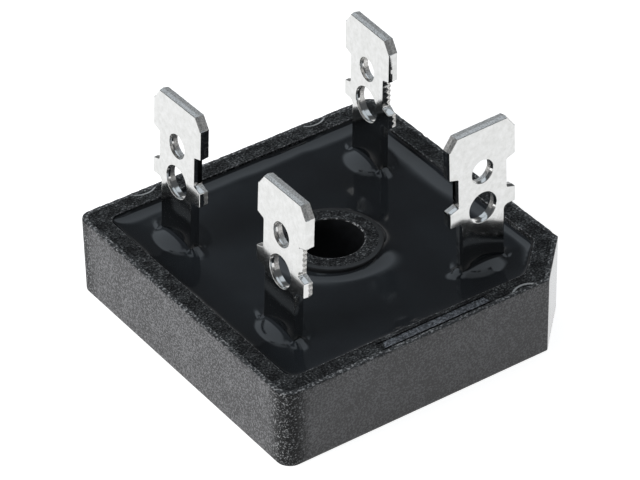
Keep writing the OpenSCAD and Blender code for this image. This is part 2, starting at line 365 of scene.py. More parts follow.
def grained(name, grains, stops, inputs, bump=None, stretch=None):
    """A material with its colour and its relief over one grain, which can be stretched on an axis.

    The grain is its size, detail and roughness, and the bump its strength and its depth."""
    material, tree, shader = new_material(name)
    where = add(tree, "ShaderNodeTexCoord").outputs["Object"]
    if stretch:
        where = add(tree, "ShaderNodeMapping", {"Vector": where, "Scale": stretch}).outputs[0]
    height = add(tree, "ShaderNodeTexNoise", {"Vector": where, **grain_of(*grains)}).outputs[0]
    colour = add(tree, "ShaderNodeValToRGB", {"Fac": height}, stops)
    feed(tree, shader, {"Base Color": colour.outputs["Color"], **inputs})
    if bump:
        strength, depth = bump
        relief = {"Height": height, "Strength": strength, "Distance": depth * MM}
        feed(tree, shader, {"Normal": add(tree, "ShaderNodeBump", relief).outputs["Normal"]})
    return material


def moulded_epoxy():
    """Black epoxy moulding compound, moulded against a spark-eroded die: a fine matt grain.

    The round upright corners look rougher: painted darker and duller, as painted shade, with bright
    specks."""
    material, tree, shader = new_material("moulded_epoxy_spark_grain")
    where = add(tree, "ShaderNodeTexCoord").outputs["Object"]
    fine, coarse, broad = (
        add(tree, "ShaderNodeTexNoise", {"Vector": where, **grains}).outputs["Fac"]
        for grains in (grain_of(0.15, 2.0, 0.7), grain_of(0.16, 2.0, 0.8), grain_of(2.5))
    )
    both = add(tree, "ShaderNodeMix", {"Factor": 0.12, "A": fine, "B": broad}).outputs["Result"]
    plain = add(tree, "ShaderNodeValToRGB", {"Fac": both}, [
        (0.42, "#121214"), (0.5, "#323234"), (0.58, "#646466"),
    ])
    specks = add(tree, "ShaderNodeValToRGB", {"Fac": coarse}, [
        (0.46, "#0a0a0b"), (0.53, "#202021"), (0.58, "#474849"), (0.65, "#939495"),
    ])
    # 1 by the upright corners, where they are painted darker and duller as painted shade, and 0 on
    # the plain walls, with the grain in its edge
    folded = add(tree, "ShaderNodeVectorMath", {0: where}, operation="ABSOLUTE")
    level = add(tree, "ShaderNodeVectorMath", {
        0: folded.outputs["Vector"], 1: (1, 1, 0),
    }, operation="MULTIPLY")
    away = add(tree, "ShaderNodeVectorMath", {
        0: level.outputs["Vector"], 1: (HALF * MM, HALF * MM, 0),
    }, operation="DISTANCE")
    ragged = add(tree, "ShaderNodeMath", {
        0: fine, 1: 1.6 * MM, 2: away.outputs["Value"],
    }, operation="MULTIPLY_ADD")
    near = add(tree, "ShaderNodeMapRange", {
        "Value": ragged.outputs[0], "From Min": 3.3 * MM, "From Max": 2.1 * MM,
    }).outputs["Result"]
    colour = add(tree, "ShaderNodeMix", {
        "Factor": near, "A": plain.outputs["Color"], "B": specks.outputs["Color"],
    }, data_type="RGBA")
    shine = add(tree, "ShaderNodeMapRange", {"Value": near, "To Min": 0.5, "To Max": 0.15})
    bump = add(tree, "ShaderNodeBump", {"Height": fine, "Strength": 0.7, "Distance": 0.04 * MM})
    feed(tree, shader, {
        "Base Color": colour.outputs["Result"], "Specular IOR Level": shine.outputs["Result"],
        "Normal": bump.outputs["Normal"], "Roughness": 0.5, "IOR": EPOXY_IOR,
    })
    return material


def broken_epoxy():
    """The same compound where flash broke off the top: painted shade darkens its pits and painted
    glints brighten its small facets.

    The ejector pins' marks have pale outlines."""
    material, tree, shader = new_material("moulded_epoxy_broken_top_painted_glints")
    where = add(tree, "ShaderNodeTexCoord").outputs["Object"]
    facets, patches = (
        add(tree, "ShaderNodeTexNoise", {"Vector": where, **grains}).outputs["Fac"]
        for grains in (grain_of(0.17, 3.0, 0.75), grain_of(1.1, 3.0, 0.6))
    )
    coarse = add(tree, "ShaderNodeMix", {
        "Factor": 0.3, "A": facets, "B": patches,
    }).outputs["Result"]
    # Painted shade in the pits and painted glints on the facets: the colour and the shine follow the
    # relief
    colour = add(tree, "ShaderNodeValToRGB", {"Fac": coarse}, [
        (0.43, "#0f0f10"), (0.51, "#1d1e1f"), (0.57, "#3a3c3d"), (0.65, "#7c7e7f"),
    ]).outputs["Color"]
    level = add(tree, "ShaderNodeVectorMath", {0: where, 1: (1, 1, 0)}, operation="MULTIPLY")
    for x, y in EJECTORS:
        reach = add(tree, "ShaderNodeVectorMath", {
            0: level.outputs["Vector"], 1: (x * MM, y * MM, 0),
        }, operation="DISTANCE")
        off = add(tree, "ShaderNodeMath", {
            0: reach.outputs["Value"], 1: EJECTOR_R * MM,
        }, operation="SUBTRACT")
        off = add(tree, "ShaderNodeMath", {0: off.outputs[0]}, operation="ABSOLUTE")
        line = add(tree, "ShaderNodeMapRange", {
            "Value": off.outputs[0], "From Min": 0.1 * MM, "From Max": 0.05 * MM,
        })
        colour = add(tree, "ShaderNodeMix", {
            "Factor": line.outputs["Result"], "A": colour, "B": linear("#a2a4a5"),
        }, data_type="RGBA").outputs["Result"]
    shine = add(tree, "ShaderNodeMapRange", {
        "Value": coarse, "From Min": 0.42, "From Max": 0.66, "To Min": 0.08, "To Max": 0.6,
    })
    bump = add(tree, "ShaderNodeBump", {"Height": coarse, "Strength": 1.0, "Distance": 0.1 * MM})
    feed(tree, shader, {
        "Base Color": colour, "Specular IOR Level": shine.outputs["Result"],
        "Normal": bump.outputs["Normal"], "Roughness": 0.6, "IOR": EPOXY_IOR,
    })
    return material


def smooth_epoxy():
    """The same compound on the bevel, where the die was polished: it mirrors what is beside it."""
    return grained(
        "moulded_epoxy_polished_bevel", [0.2], [(0.36, "#2b2b2c"), (0.66, "#3a3a3c")],
        {"Roughness": 0.2, "Coat Weight": 0.6, "Coat Roughness": 0.1, "IOR": EPOXY_IOR},
    )


def pin_epoxy():
    """The same compound round the screw hole, moulded against polished pins: dark and satin."""
    return grained(
        "moulded_epoxy_polished_pin", [0.5], [(0.36, "#101112"), (0.66, "#17181a")],
        {"Roughness": 0.42, "IOR": EPOXY_IOR},
    )


def gate_epoxy():
    """The same compound where the gate broke off: a rough, paler bar."""
    return grained(
        "moulded_epoxy_gate_scar", [0.18, 3.0, 0.7],
        [(0.38, "#1b1d20"), (0.5, "#42454a"), (0.62, "#7c8086")],
        {"Roughness": 0.6, "IOR": EPOXY_IOR}, bump=(1.0, 0.08),
    )


def worn_and_highlit_epoxy():
    """The same compound along its top edges and round the hole: chipped, with pale specks that are
    partly fresh wear and partly a painted highlight along the edges.
    """
    return grained(
        "moulded_epoxy_chipped_highlit_edge", [0.22, 2.0, 0.7],
        [(0.45, "#161617"), (0.54, "#3c3d3e"), (0.62, "#8e8f90")],
        {"Roughness": 0.55, "IOR": EPOXY_IOR},
    )


def cast_epoxy():
    """Cast black epoxy, cured with a free surface: smooth and glossy like wet paint."""
    return grained(
        "cast_epoxy_glossy", [4.0], [(0.35, "#181b1f"), (0.65, "#1c2024")],
        {"Roughness": 0.08, "IOR": 1.52},
    )


def bright_tin():
    """Bright tin plate over punched brass strip: nearly a mirror, with faint rolling streaks.

    Low on the necks it is painted darker and a little duller, as painted shade."""
    material, tree, shader = new_material("bright_tin_plate")
    where = add(tree, "ShaderNodeTexCoord").outputs["Object"]
    drawn = add(tree, "ShaderNodeMapping", {"Vector": where, "Scale": (1.0, 1.0, 0.12)}).outputs[0]
    streak, mottle, fine = (
        add(tree, "ShaderNodeTexNoise", {"Vector": vector, **grains}).outputs["Fac"]
        for vector, grains in (
            (drawn, grain_of(0.12, 3.0, 0.6)), (where, grain_of(0.5, 3.0, 0.6)),
            (where, grain_of(0.15)),
        )
    )
    bare = add(tree, "ShaderNodeValToRGB", {"Fac": mottle}, [(0.3, "#cacac8"), (0.7, "#d8d8d7")])
    height = add(tree, "ShaderNodeSeparateXYZ", {"Vector": where}).outputs["Z"]
    ragged = add(tree, "ShaderNodeMath", {
        0: fine, 1: 1.2 * MM, 2: height,
    }, operation="MULTIPLY_ADD")
    neck_shade = add(tree, "ShaderNodeMapRange", {
        "Value": ragged.outputs[0], "From Min": NECK_SHADE_Z * MM, "From Max": (NECK_SHADE_Z - NECK_SHADE_FADE) * MM,
    }).outputs["Result"]
    # Darker and a little duller low on the necks: painted shade
    colour = add(tree, "ShaderNodeMix", {
        "Factor": neck_shade, "A": bare.outputs["Color"], "B": linear("#b8b7b5"),
    }, data_type="RGBA")
    polish = add(tree, "ShaderNodeMapRange", {"Value": mottle, "To Min": 0.06, "To Max": 0.12})
    rough = add(tree, "ShaderNodeMath", {
        0: neck_shade, 1: 0.03, 2: polish.outputs["Result"],
    }, operation="MULTIPLY_ADD")
    bump = add(tree, "ShaderNodeBump", {"Height": streak, "Strength": 0.12, "Distance": 0.01 * MM})
    feed(tree, shader, {
        "Base Color": colour.outputs["Result"], "Roughness": rough.outputs[0],
        "Normal": bump.outputs["Normal"], "Metallic": 1.0,
    })
    return material


def torn_tin():
    """The rough part of a punched edge, plated as it broke: bright, but it scatters the light."""
    return grained(
        "tin_plate_on_torn_edge", [0.12, 3.0, 0.7], [(0.35, "#bbb9b6"), (0.6, "#f4f2ef")],
        {"Metallic": 1.0, "Roughness": 0.5}, bump=(0.6, 0.04),
    )


def inner_metal(name, dark, light, roughness, size, stretch=None):
    """A metal, or silicon, with a worked surface: a fine bump along the work's direction."""
    return grained(
        name, [size, 3.0, 0.6], [(0.3, dark), (0.7, light)],
        {"Metallic": 1.0, "Roughness": roughness}, bump=(0.25, 0.01), stretch=stretch,
    )


# ---- Case ----

# The steps of each straight of the case's outline, and of each corner
SIDE_STEPS = [166, 40, 166, 188, 188]
CORNER_STEPS = [10, 4, 4, 10, 10]
# Insets of the rings across the rim, close together at the gate's scar and its grooves
RIM_INSETS = [
    0.4, 0.42, 0.53, 0.555, 0.59, 0.75, 0.9, 1.05, 1.2, 1.235, 1.25, 1.34, 1.37, 1.52, 1.66,
]
# Radii of the rings across the boss's top
BOSS_RADII = [3.72, 3.65, 3.5, 3.35, 3.2, 3.05, 2.9, 2.8]


def case_line(half, leg, corner_r):
    """The case's outline for a half width: three round corners, and the bevel's two small ones."""
    bevel = [(half - leg, -half), (half, leg - half)]
    vertices = [(-half, -half), *bevel, (half, half), (-half, half)]
    radii = [corner_r, BEVEL_CORNER_R, BEVEL_CORNER_R, corner_r, corner_r]
    return rounded_loop(vertices, radii, SIDE_STEPS, CORNER_STEPS)


outer_line, outer_normal = case_line(HALF, BEVEL_LEG, CORNER_R)
pocket_line, pocket_normal = case_line(HALF - WALL, BEVEL_LEG - WALL * BEVEL_SHIFT, POCKET_R)
ROUND = len(outer_line)
# From the hole's axis towards each point of the outline
towards = pocket_line / np.linalg.norm(pocket_line, axis=1)[:, None]


def inset_line(inset):
    """The outline at a distance in from the outer wall."""
    return outer_line + (pocket_line - outer_line) * inset / WALL


def edge_wear():
    """How far the top edge is worn back along the outline: a small round, with chips in it."""
    rng = np.random.default_rng(11)
    pieces = np.linalg.norm(np.diff(outer_line, axis=0), axis=1)
    along = np.concatenate([[0], np.cumsum(pieces)])
    total = along[-1] + 0.1
    wear = WEAR + 0.03 * noise(along[:, None], 0.3, 1) + 0.02 * noise(along[:, None], 1.3, 2)
    for _ in range(CHIPS):
        at, wide, deep = rng.uniform(0, total), rng.uniform(*CHIP_WIDE), rng.uniform(*CHIP_DEEP)
        gap = np.abs((along - at + total / 2) % total - total / 2)
        wear += deep * np.exp(-((gap / wide) ** 4))
    return np.clip(wear, *WEAR_LIMITS)


def rim_height(line, inset):
    """The rim's height along one ring: its grain, the gate's scar and the ejector pins' marks."""
    z = RIM_Z - RELIEF + 0.008 * noise(line, 0.28, 3) + 0.006 * noise(line, 1.1, 4)
    at_gate = (line[:, 1] < -HALF + WALL) & (np.abs(line[:, 0]) < GATE_HALF)
    if GATE_FROM < inset < GATE_TO:
        z = np.where(at_gate, RIM_Z - GATE_DEEP * 0.5 + 0.02 * noise(line, 0.2, 5), z)
    if any(low < inset < high for low, high in GATE_GROOVES):
        z = np.where(at_gate, RIM_Z - GATE_DEEP * 1.5, z)
    for centre in EJECTORS:
        reach = np.linalg.norm(line - np.array(centre), axis=1)
        z -= EJECTOR_DEEP * (1 - smooth_step(reach, EJECTOR_R - 0.06, EJECTOR_R))
    return np.minimum(z, RIM_Z)


def case_rings():
    """Rings of the case in order: underside, outer wall, rim, pocket, boss and hole.

    The marks tell at which ring the top edge, rim, pocket, boss, boss's top and hole start."""
    rings, marks = [], {}

    def ring(line, z):
        rings.append(np.column_stack([line, np.broadcast_to(z, ROUND)]))

    # Underside, with the plate's recess
    ring(towards * HOLE_R, PLATE_Z)
    ring(inset_line(PLATE_INSET), PLATE_Z)
    ring(inset_line(PLATE_INSET), 0.0)
    for _, inward, up in quarter_round(0, 30, 60, 90):
        ring(inset_line(BASE_ROUND * inward), BASE_ROUND * up)
    # Outer wall, and its worn top edge
    for z in np.linspace(0.5, RIM_Z - 0.45, 14):
        sag = RELIEF * (1 + noise(np.column_stack([outer_line, np.full(ROUND, z)]), 3.0, 6)) / 2
        ring(outer_line - outer_normal * sag[:, None], z)
    wear = edge_wear()
    for angle, down, inward in quarter_round(0, 22, 45, 68, 90):
        rough = RELIEF * (1 + noise(outer_line + angle, 0.2, 7)) / 2
        line = outer_line - outer_normal * (wear * inward + rough)[:, None]
        ring(line, RIM_Z - RELIEF - wear * down)
    marks["edge"], marks["rim"] = len(rings) - 3, len(rings)
    # Rim, and the pocket down to the floor
    for inset in RIM_INSETS:
        line = inset_line(inset)
        ring(line, rim_height(line, inset))
    for _, outward, down in quarter_round(0, 30, 60, 90):
        ring(inset_line(WALL - POCKET_ROUND * outward), RIM_Z - POCKET_DROP - POCKET_ROUND * down)
    marks["pocket"] = len(rings)
    for z in (FILL_Z + 0.3, FILL_Z, FLOOR_Z):
        ring(pocket_line, z)
    # Boss, and the hole down to half its depth
    marks["boss"] = len(rings)
    ring(towards * BOSS_R, FLOOR_Z)
    ring(towards * BOSS_R, FILL_Z)
    for _, down, inward in quarter_round(0, 20, 40, 60, 75, 90):
        ring(towards * (BOSS_R - BOSS_ROUND * inward), RIM_Z - BOSS_DROP - BOSS_ROUND * down)
    marks["boss_top"] = len(rings)
    for radius in BOSS_RADII:
        line = towards * radius
        ring(line, RIM_Z - 0.02 + 0.02 * noise(line, 0.3, 8))
    for _, outward, down in quarter_round(0, 30, 60, 90):
        ring(towards * (HOLE_R + HOLE_ROUND * outward), RIM_Z - HOLE_ROUND * down)
    marks["hole"] = len(rings) - 1
    ring(towards * HOLE_R, (RIM_Z + PLATE_Z) / 2)
    return rings, marks


def build_case(finishes):
    """The case. Its finishes are for walls, broken top, bevel, round the hole, gate and edges."""
    rings, marks = case_rings()
    count = len(rings)
    faces = [band(k * ROUND, (k + 1) % count * ROUND, ROUND) for k in range(count)]
    level = np.repeat(np.arange(count), ROUND)
    line = np.tile(outer_line, (count, 1))
    edge, rim, pocket, boss, boss_top, hole = marks.values()

    def levels(start, stop):
        return (level >= start) & (level < stop)

    rough_top = levels(edge, pocket) | levels(boss_top, hole)
    # Top edges, the pocket's edge and the hole's edge: worn, and with a painted highlight along them
    on_worn_highlit_edge = levels(edge, rim) | levels(pocket - 4, pocket - 2) | levels(hole - 3, hole)
    on_bevel = np.tile(outer_normal @ (1, -1) > 1.41, count) & levels(3, edge)
    round_hole = levels(boss, count) | (level == 0)
    gate = [rim + k for k, inset in enumerate(RIM_INSETS) if GATE_FROM <= inset < GATE_TO]
    on_gate = np.isin(level, gate) & (line[:, 1] < -HALF + 0.1) & (np.abs(line[:, 0]) < GATE_HALF)
    choice = np.select([on_gate, on_worn_highlit_edge, rough_top, on_bevel, round_hole], [4, 5, 1, 2, 3], 0)
    add_piece("case_moulded", np.concatenate(rings), np.concatenate(faces), finishes, ["case"],
              sharp=50, choice=choice)


# ---- Filling ----

# How the liquid climbs: a height and a reach for its broad curve, and for the steep edge that wets
# what it climbs. At a neck the climb has half a width too, on the wide faces and the narrow sides.
WALL_CREEP, WALL_WET = (0.33, 0.72), (0.2, 0.12)
FACE_PULL = dict(broad=(0.5, 1.9), edge=(0.1, 0.2), half=2.4)
SIDE_PULL = dict(broad=(0.27, 1.5), edge=(0.06, 0.2), half=0.8)
# More of it ran against one side of the boss: the direction and the spread, in degrees
BOSS_POOL_AT, BOSS_POOL_SPREAD = -47, 34
# It climbs less at the bevel, and at the front of the wall beside it
BEVEL_SHARE, FRONT_SHARE = 0.4, 0.25
# The walls and the boss draw it up by no more than this, which is just under the rim
RISE_LIMIT = 0.66

# Spacing of the points: over the surface, near a neck with how far that reaches, and round a neck
LATTICE, FINE_LATTICE, FINE_REACH, NECK_STEP = 0.2, 0.1, 1.0, 0.12
# Rows of points beside the walls and the boss, and the steps round the boss
ROW_GAPS, BOSS_STEPS = (0.04, 0.09, 0.15, 0.22), 200
# The filling reaches this far into the tin, so that no gap opens at a neck
NECK_BITE = 0.01


def neck_loop(terminal):
    """The hole that a neck leaves in the filling."""
    turn = math.radians(terminal["turn"])
    x, y = terminal["at"]
    half, thick = NECK_W / 2 - NECK_BITE, TAB_T - NECK_BITE
    points = [
        (
            x + across * math.cos(turn) - back * math.sin(turn),
            y + across * math.sin(turn) + back * math.cos(turn),
        )
        for across, back in [(-half, NECK_BITE), (half, NECK_BITE), (half, thick), (-half, thick)]
    ]
    loop = []
    for a, b in zip(points, points[1:] + points[:1]):
        a, b = np.array(a), np.array(b)
        count = max(2, round(np.linalg.norm(b - a) / NECK_STEP))
        loop += [a + (b - a) * k / count for k in range(count)]
    return np.array(loop)


def pulled(along, gap, pull):
    """Height of the liquid beside one side of a neck: a bowl, highest against the side's middle."""
    arch = np.sqrt(np.clip(1 - (along / pull["half"]) ** 2, 0, 1))
    rise = 0
    for height, reach in (pull["broad"], pull["edge"]):
        rise = rise + height * np.maximum(arch - gap / reach, 0) ** 2
    return rise


def neck_rise(points, terminal):
    """How far a neck draws the liquid up: most at the middle of a wide face, least at a corner."""
    turn = math.radians(terminal["turn"])
    offset = points - np.array(terminal["at"])
    across = offset @ (math.cos(turn), math.sin(turn))
    back = offset @ (-math.sin(turn), math.cos(turn)) - TAB_T / 2
    wide = pulled(across, np.abs(np.abs(back) - TAB_T / 2), FACE_PULL)
    narrow = pulled(back, np.abs(np.abs(across) - NECK_W / 2), SIDE_PULL)
    return (wide**4 + narrow**4) ** 0.25


def climb(gap, curve):
    """Height of the liquid at a gap from what it climbs, for a curve's height and reach."""
    height, reach = curve
    return height * np.exp(-gap / reach)


def fill_height(points):
    """The cured surface: flat, and drawn up into a hollow curve at each wall, neck and the boss."""
    uneven = 1 + 0.15 * noise(points, 3.2, 9) + 0.05 * noise(points, 1.1, 10)
    x, y = points[:, 0], points[:, 1]
    half = HALF - WALL
    bevel = (2 * half - (BEVEL_LEG - WALL * BEVEL_SHIFT)) / math.sqrt(2)
    right_share = FRONT_SHARE + (1 - FRONT_SHARE) * smooth_step(y, -9, 1)
    sides = [
        (half - x, right_share), (half + x, 1), (half - y, 1), (half + y, 1),
        (bevel - (x - y) / math.sqrt(2), BEVEL_SHARE),
    ]
    rise = np.zeros(len(points))
    for gap, share in sides:
        gap = np.maximum(gap, 0)
        rise += uneven * (share * climb(gap, WALL_CREEP) + climb(gap, WALL_WET))
    off = np.degrees(np.arctan2(y, x)) - BOSS_POOL_AT
    pool = np.exp(-(((off + 180) % 360 - 180) / BOSS_POOL_SPREAD) ** 2)
    gap = np.maximum(np.linalg.norm(points, axis=1) - BOSS_R, 0)
    rise += climb(gap, (0.12 + 0.3 * pool, 0.4 + 0.6 * pool)) + climb(gap, (0.2, 0.25))
    rise = np.minimum(rise, RISE_LIMIT)
    for terminal in TERMINALS.values():
        neck = neck_rise(points, terminal)
        rise = np.maximum(rise, neck) + 0.3 * np.minimum(rise, neck)
    return FILL_Z + rise


def build_filling(material):
    """The filling: its cured top, a plain underside, and the walls between them all round."""
    necks = [neck_loop(terminal) for terminal in TERMINALS.values()]
    loops = [pocket_line, circle(BOSS_R, BOSS_STEPS)] + necks
    half = HALF - WALL
    lattice = hex_lattice((-half, -half), (half, half), LATTICE, loops, clear=0.3)
    to_neck = np.minimum.reduce([loop_distance(lattice, loop) for loop in necks])
    parts = [lattice[to_neck >= FINE_REACH]]
    for gap in ROW_GAPS:
        parts += [pocket_line - pocket_normal * gap, circle(BOSS_R + gap, BOSS_STEPS)]
    for loop in necks:
        low, high = loop.min(0) - FINE_REACH - 0.1, loop.max(0) + FINE_REACH + 0.1
        fine = hex_lattice(low, high, FINE_LATTICE, loops, clear=0.05)
        parts.append(fine[loop_distance(fine, loop) < FINE_REACH - 0.05])
    flat, top_faces, source = flat_fill(loops, np.concatenate(parts))
    top = np.column_stack([flat, fill_height(flat)])
    flat, bottom_faces, bottom_source = flat_fill(loops, np.zeros((0, 2)))
    bottom = np.column_stack([flat, np.full(len(flat), FLOOR_Z)])
    # The number of each of the loops' points, in the top and in the underside
    upper = {s: i for i, s in enumerate(source) if s >= 0}
    lower = {s: i + len(top) for i, s in enumerate(bottom_source) if s >= 0}
    walls, start = [], 0
    for loop in loops:
        n = len(loop)
        for i in range(n):
            a, b = start + i, start + (i + 1) % n
            quad = [upper[b], upper[a], lower[a], lower[b]]
            walls.append(quad if loop is pocket_line else quad[::-1])
        start += n
    faces = top_faces.tolist() + (bottom_faces[:, ::-1] + len(top)).tolist() + walls
    add_piece("filling_cast", np.concatenate([top, bottom]), faces, [material], ["potting"],
              sharp=60)


# ---- Terminals ----

BEND_IN = 0.3
CORNER, SOFT_CORNER = 0.1, 0.12
# The punched edge, from the outer face back: how far it is in from the outline, and its depth. The
# punch burnishes the first rings, and from TORN_FROM on the rest breaks off rough.
EDGE = [(0.07, 0.0), (0.045, 0.006), (0.03, 0.022), (0.022, 0.05), (0.0, 0.34), (0.006, 0.39),
        (0.03, 0.6), (0.055, 0.8)]
TORN_FROM = 4
LAST_RING = len(EDGE) - 1
# Spacing of the points along the edge and on the faces, and the steps round a hole
EDGE_STEP, FACE_LATTICE, HOLE_STEPS = 0.07, 0.32, 72
SHOULDER_FOOT = TALL - TAB_L - WAIST_H - SHOULDER_H


def strip_below(terminal):
    """Length of flat strip that neck, bend and foot take below the filling's surface."""
    straight = terminal["deep"] - TAB_T - BEND_IN
    bend = math.pi / 2 * (BEND_IN + TAB_T / 2)
    return straight + bend + terminal["foot"] - TAB_T - BEND_IN


def tab_line(terminal):
    """The strip's flat outline, from the foot's end up to the tip: points, normals."""
    half, neck, waist = TAB_W / 2, NECK_W / 2, WAIST_W / 2
    notch_top = TALL - TAB_L
    notch_foot = notch_top - WAIST_H
    # Each corner of the right half, with its round
    right = [
        (neck, -strip_below(terminal), CORNER), (neck, SHOULDER_FOOT, NECK_R),
        (half, SHOULDER_FOOT, CORNER), (half, notch_foot, CORNER),
        (waist, notch_foot + STEP_SLANT, SOFT_CORNER), (waist, notch_top - STEP_SLANT, SOFT_CORNER),
        (half, notch_top, CORNER), (half, TALL - TIP_H, SOFT_CORNER),
        (half - TIP_W, TALL, SOFT_CORNER),
    ]
    corners = right + [(-x, y, radius) for x, y, radius in reversed(right)]
    radii = [radius for _, _, radius in corners]
    arc_steps = [6 if radius == NECK_R else 3 for radius in radii]
    return rounded_loop([(x, y) for x, y, _ in corners], radii, EDGE_STEP, arc_steps)


def fold(terminal, across, up, back):
    """Bends flat strip into the terminal: leaning blade, upright neck, round bend and flat foot."""
    share = smooth_step(up, 0.0, 1.0)
    sway = np.radians(terminal["sway"]) * share
    lean = np.radians(terminal["lean"]) * share
    x = across * np.cos(sway) + up * np.sin(sway)
    z = up * np.cos(sway) - across * np.sin(sway)
    y = back * np.cos(lean) + z * np.sin(lean)
    z = z * np.cos(lean) - back * np.sin(lean)
    # Below the surface the foot goes back, or forwards where foot_side is -1
    depth = back if terminal["foot_side"] > 0 else TAB_T - back
    straight = terminal["deep"] - TAB_T - BEND_IN
    run = -up - straight
    middle = BEND_IN + TAB_T / 2
    angle = np.clip(run / middle, 0, math.pi / 2)
    radius = BEND_IN + TAB_T - depth
    past_bend = np.maximum(run - middle * math.pi / 2, 0)
    bent_y = TAB_T + BEND_IN - radius * np.cos(angle) + past_bend
    bent_z = -straight - radius * np.sin(angle)
    if terminal["foot_side"] < 0:
        bent_y = TAB_T - bent_y
    y = np.where(run > 0, bent_y, y)
    z = np.where(run > 0, bent_z, z)
    turn = math.radians(terminal["turn"])
    at = terminal["at"]
    return np.column_stack([
        at[0] + x * math.cos(turn) - y * math.sin(turn),
        at[1] + x * math.sin(turn) + y * math.cos(turn),
        FILL_Z + z,
    ])


def tear(terminal, line):
    """How deeply the tool tore each point of the outline: teeth of a steady pitch."""
    below_tip = TALL - line[:, 1]
    depth = np.zeros(len(line))
    for side, start, stop, deep in terminal["torn"]:
        here = (np.sign(line[:, 0]) == side) & (below_tip > start) & (below_tip < stop)
        here &= np.abs(line[:, 0]) > WAIST_W / 2 - 0.05
        phase = (below_tip + 0.1 * noise(line, 0.5, 12)) / TOOTH_PITCH
        tooth = 1 - np.abs(2 * (phase - np.floor(phase)) - 1)
        depth = np.where(here, deep * tooth, depth)
    return depth


def edge_ring(line, normal, level, teeth, rolled):
    """One ring of a punched edge: its points on the flat strip, with their depth.

    The teeth and the share that is rolled over are given for each point of the line."""
    inset, depth = EDGE[level]
    back = inset + TIP_ROLL * rolled * max(0.0, 1 - depth / EDGE[TORN_FROM][1]) ** 2
    deep = np.full(len(line), depth)
    if level >= TORN_FROM:
        share = (level - TORN_FROM) / (LAST_RING - TORN_FROM)
        back += share * (TORN_RELIEF * (1 + noise(line + level, 0.2, 13)) + teeth)
        deep += (1 - share) * (0.03 * noise(line, 0.3, 16) + 1.6 * teeth)
    return np.column_stack([line - normal * back[:, None], deep])


def build_terminal(name, plated, torn):
    """A terminal as punched and folded strip: the rings of its edges, then its two flat sides."""
    terminal = TERMINALS[name]
    loops = [tab_line(terminal)]
    for diameter, distance in ((CATCH_D, CATCH_IN), (terminal["eye"], EYE_IN)):
        ring = circle(diameter / 2, HOLE_STEPS)[::-1]
        loops.append((ring + (0, TALL - distance), -ring / (diameter / 2)))
    points, faces, choice, count = [], [], [], 0
    flat_sides = {0: [], LAST_RING: []}
    for k, (line, normal) in enumerate(loops):
        n = len(line)
        in_hole = k > 0
        facing_up = normal[:, 1] > 0.3
        on_tip = line[:, 1] > TALL - TIP_H - 0.1
        teeth = np.zeros(n) if in_hole else tear(terminal, line)
        rolled = np.zeros(n) if in_hole else smooth_step(normal[:, 1], 0.0, 0.6) * on_tip
        for level in range(len(EDGE)):
            points.append(edge_ring(line, normal, level, teeth, rolled))
            if level in flat_sides:
                flat_sides[level].append((points[-1][:, :2], count))
            if level:
                faces += band(count - n, count, n)[:, ::-1].tolist()
                rough = (level > TORN_FROM) & (facing_up | (teeth > 0) | in_hole)
                rough |= (level > 2) & facing_up & on_tip
                choice += (rough & (line[:, 1] > SHOULDER_FOOT)).astype(int).tolist()
            count += n
    for level, order in ((0, 1), (LAST_RING, -1)):
        lines = [line for line, _ in flat_sides[level]]
        lattice = hex_lattice(lines[0].min(0), lines[0].max(0), FACE_LATTICE, lines, clear=0.12)
        flat, triangles, source = flat_fill(lines, lattice)
        # A fill's point is a ring's own where there is one, and else a new one
        ringed = [start + i for line, start in flat_sides[level] for i in range(len(line))]
        numbers, extra = [], []
        for spot, s in zip(flat, source):
            if 0 <= s < len(ringed):
                numbers.append(ringed[s])
            else:
                numbers.append(count + len(extra))
                extra.append((*spot, EDGE[level][1]))
        points.append(np.array(extra))
        count += len(extra)
        faces += np.array(numbers)[triangles][:, ::order].tolist()
        choice += [0] * len(triangles)
    strip = np.concatenate(points)
    flat = strip[:, :2]
    dent = 0.006 * noise(flat, 1.6, 14) + 0.003 * noise(flat, 0.7, 15)
    dent *= smooth_step(strip[:, 1], 0, 1)
    vertices = fold(terminal, strip[:, 0], strip[:, 1], strip[:, 2] + dent)
    add_piece(name + "_plated", vertices, faces, [plated, torn], [name],
              sharp=12, choice=choice)


# ---- Studio ----

# The camera: its turn, height and roll in degrees, its place, and its lens
CAMERA_ANGLES = (-34.46, 35.87, -1.12)
CAMERA_AT = (-123.4, -178.3, 163.4)
CAMERA_LENS = 194.5
# The soft lights: the direction of each one's middle, and how its edge fades
SOFT_LIGHTS = [
    ((0.05, 0.7, 0.712), [(0.916, "#000000"), (0.929, "#7c848a"), (0.945, "#d3dde6")]),
    ((0.38, 0.1, 0.92), [(0.84, "#000000"), (0.87, "#7c848a"), (0.9, "#d3dde6")]),
]
# The floor's glow fades out between these radii under the part, as a painted contact shadow, so that
# it doesn't shine up through the screw hole
GLOW_FROM, GLOW_TO = 7, 13
FLOOR_REACH = 3.0
WHITE = (1, 1, 1, 1)


def add_lamp(name, position, size, radiance, target=(0, 0, 0.006)):
    """A square soft lamp that looks as bright as a surface of the given radiance, in metres."""
    light = bpy.data.lights.new(name, "AREA")
    light.size = size
    light.energy = radiance * size * size * math.pi
    lamp = bpy.data.objects.new(name, light)
    lamp.location = position
    lamp.rotation_mode = "QUATERNION"
    lamp.rotation_quaternion = (Vector(target) - Vector(position)).to_track_quat("-Z", "Y")
    bpy.context.scene.collection.objects.link(lamp)
    return lamp


